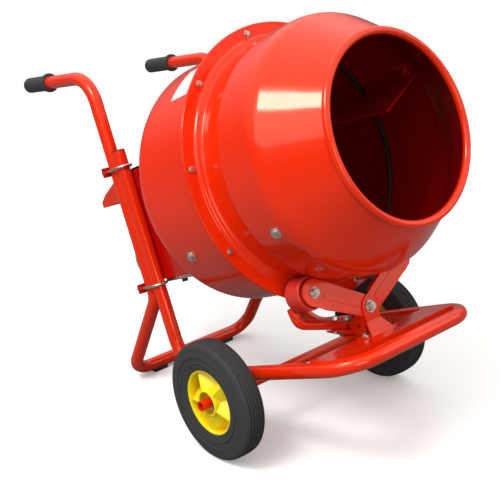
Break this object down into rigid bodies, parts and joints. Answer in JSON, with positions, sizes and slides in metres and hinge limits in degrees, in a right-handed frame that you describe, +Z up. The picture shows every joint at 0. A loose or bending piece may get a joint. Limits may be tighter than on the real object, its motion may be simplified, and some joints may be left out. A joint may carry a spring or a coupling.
{
  "type": "concrete mixer",
  "caption": "Portable electric drum mixer on a bent tube frame with two wheels, handles, a rear leg bar and front roller cradle.",
  "frame": {"origin": "centre of the overall footprint at ground level", "axes": "+X along the wheel axle, -Y towards the drum's mouth, +Y towards the handles, +Z up; the drum axis leans 20.5 degrees up towards the front"},
  "size_m": [0.692, 1.322, 1.038],
  "materials": {
    "red_paint": "gloss red enamel",
    "dark_red_paint": "gloss dark red enamel",
    "black_rubber": "matt moulded rubber",
    "tyre_rubber": "solid tyre rubber",
    "yellow_plastic": "moulded yellow",
    "zinc_steel": "zinc plated",
    "bare_steel": "machined",
    "grey_motor": "grey painted casting",
    "grey_sheet": "grey painted sheet",
    "cast_gear": "greased casting",
    "black_plastic": "moulded black",
    "green_plastic": "green push button",
    "red_plastic": "red push button"
  },
  "bodies": {
    "frame": {"main_frame_tube": "red_paint", "handle_leg_tube": "red_paint", "tube_plugs": "black_plastic", "grip_left": "black_rubber", "grip_right": "black_rubber", "u_bolts": "zinc_steel", "clamp_saddles": "dark_red_paint", "clamp_nuts": "zinc_steel", "foot_pads": "black_rubber", "axle_tube": "red_paint", "axle_brackets": "red_paint", "axle_washers_and_pins": "zinc_steel", "cross_channel": "red_paint", "cradle_bracket": "red_paint", "roller_arm_left": "red_paint", "roller_arm_right": "red_paint", "roller_bushes": "bare_steel", "roller_bolts": "zinc_steel", "cradle_bolts": "zinc_steel", "roller_yoke": "red_paint", "yoke_seat": "red_paint", "shaft_bearings": "bare_steel", "bearing_housings": "cast_gear", "drive_housing": "dark_red_paint", "housing_rear_cover": "dark_red_paint", "cover_screws": "zinc_steel", "housing_bottom_rail": "zinc_steel", "cable_gland": "black_plastic", "motor_hood": "red_paint", "motor_body": "grey_motor", "fan_cover": "grey_sheet", "switch_box": "black_plastic", "drive_belt": "black_rubber"},
    "drum": {"drum_front_shell": "red_paint", "drum_rear_bowl": "red_paint", "drum_seal": "black_rubber", "flange_bolts": "zinc_steel", "flange_nuts": "zinc_steel", "mixing_paddles": "dark_red_paint", "paddle_bolts": "zinc_steel", "drum_hub": "cast_gear", "hub_bolts": "zinc_steel", "drum_shaft": "bare_steel", "drum_gear": "cast_gear"},
    "layshaft": {"layshaft": "bare_steel", "pinion": "cast_gear", "layshaft_pulley": "cast_gear"},
    "motor_rotor": {"motor_shaft": "bare_steel", "motor_pulley": "grey_motor", "cooling_fan": "black_plastic"},
    "roller_left": {"roller_left": "red_paint"},
    "roller_right": {"roller_right": "red_paint"},
    "wheel_left": {"tyre_left": "tyre_rubber", "wheel_rim_left": "yellow_plastic", "wheel_bush_left": "black_plastic"},
    "wheel_right": {"tyre_right": "tyre_rubber", "wheel_rim_right": "yellow_plastic", "wheel_bush_right": "black_plastic"},
    "start_button": {"start_button": "green_plastic"},
    "stop_button": {"stop_button": "red_plastic"}
  },
  "joints": [
    {"name": "drum_spin", "type": "hinge", "parent": "frame", "child": "drum", "pos_m": [0, -0.26812, 0.69024], "axis": [0, -0.9367, 0.3502], "continuous": true},
    {"name": "layshaft_spin", "type": "hinge", "parent": "frame", "child": "layshaft", "pos_m": [0.07637, 0.05826, 0.48668], "axis": [0, -0.9367, 0.3502], "continuous": true},
    {"name": "motor_spin", "type": "hinge", "parent": "frame", "child": "motor_rotor", "pos_m": [-0.045, 0.03685, 0.42942], "axis": [0, -0.9367, 0.3502], "continuous": true},
    {"name": "roller_left_spin", "type": "hinge", "parent": "frame", "child": "roller_left", "pos_m": [-0.15066, -0.41611, 0.42577], "axis": [0, -0.9367, 0.3502], "continuous": true},
    {"name": "roller_right_spin", "type": "hinge", "parent": "frame", "child": "roller_right", "pos_m": [0.15066, -0.41611, 0.42577], "axis": [0, -0.9367, 0.3502], "continuous": true},
    {"name": "wheel_left_spin", "type": "hinge", "parent": "frame", "child": "wheel_left", "pos_m": [-0.2955, -0.24377, 0.15], "axis": [1, 0, 0], "continuous": true},
    {"name": "wheel_right_spin", "type": "hinge", "parent": "frame", "child": "wheel_right", "pos_m": [0.2955, -0.24377, 0.15], "axis": [1, 0, 0], "continuous": true},
    {"name": "start_press", "type": "slide", "parent": "frame", "child": "start_button", "axis": [0, -0.9367, 0.3502], "range_m": [0, 0.004], "stiffness_N_per_m": 400, "springref_m": -0.001},
    {"name": "stop_press", "type": "slide", "parent": "frame", "child": "stop_button", "axis": [0, -0.9367, 0.3502], "range_m": [0, 0.004], "stiffness_N_per_m": 400, "springref_m": -0.001}
  ],
  "couplings": [
    {"joint": "layshaft_spin", "follows": "drum_spin", "ratio": -8},
    {"joint": "motor_spin", "follows": "drum_spin", "ratio": -40},
    {"joint": "roller_left_spin", "follows": "drum_spin", "ratio": -7.375},
    {"joint": "roller_right_spin", "follows": "drum_spin", "ratio": -7.375}
  ]
}
